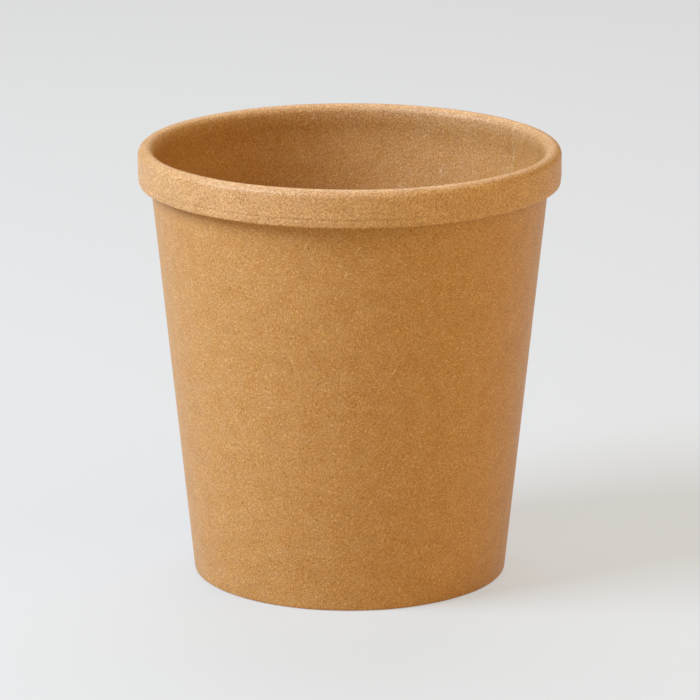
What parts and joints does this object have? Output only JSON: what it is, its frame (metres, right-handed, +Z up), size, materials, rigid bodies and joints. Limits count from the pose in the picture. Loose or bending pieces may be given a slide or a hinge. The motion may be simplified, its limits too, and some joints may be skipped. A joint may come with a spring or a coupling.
{
  "type": "paper soup container",
  "caption": "Round tapered paperboard tub with a tall rolled rim, a lapped side seam and a raised base, for hot food, standing open with no lid.",
  "frame": {"origin": "on the container's axis, in the plane that the foot stands on", "axes": "+Z up the axis, out of the open mouth; -Y towards the picture's camera, with the side seam at the back right, 32 degrees from +X towards +Y"},
  "size_m": [0.098, 0.098, 0.1013],
  "materials": {
    "wall_board": "matte kraft board with a faint sheen from its sealing film",
    "base_board": "matte kraft board with a faint sheen from its sealing film"
  },
  "bodies": {
    "root": {"side_wall": "wall_board", "base": "base_board"}
  },
  "joints": []
}
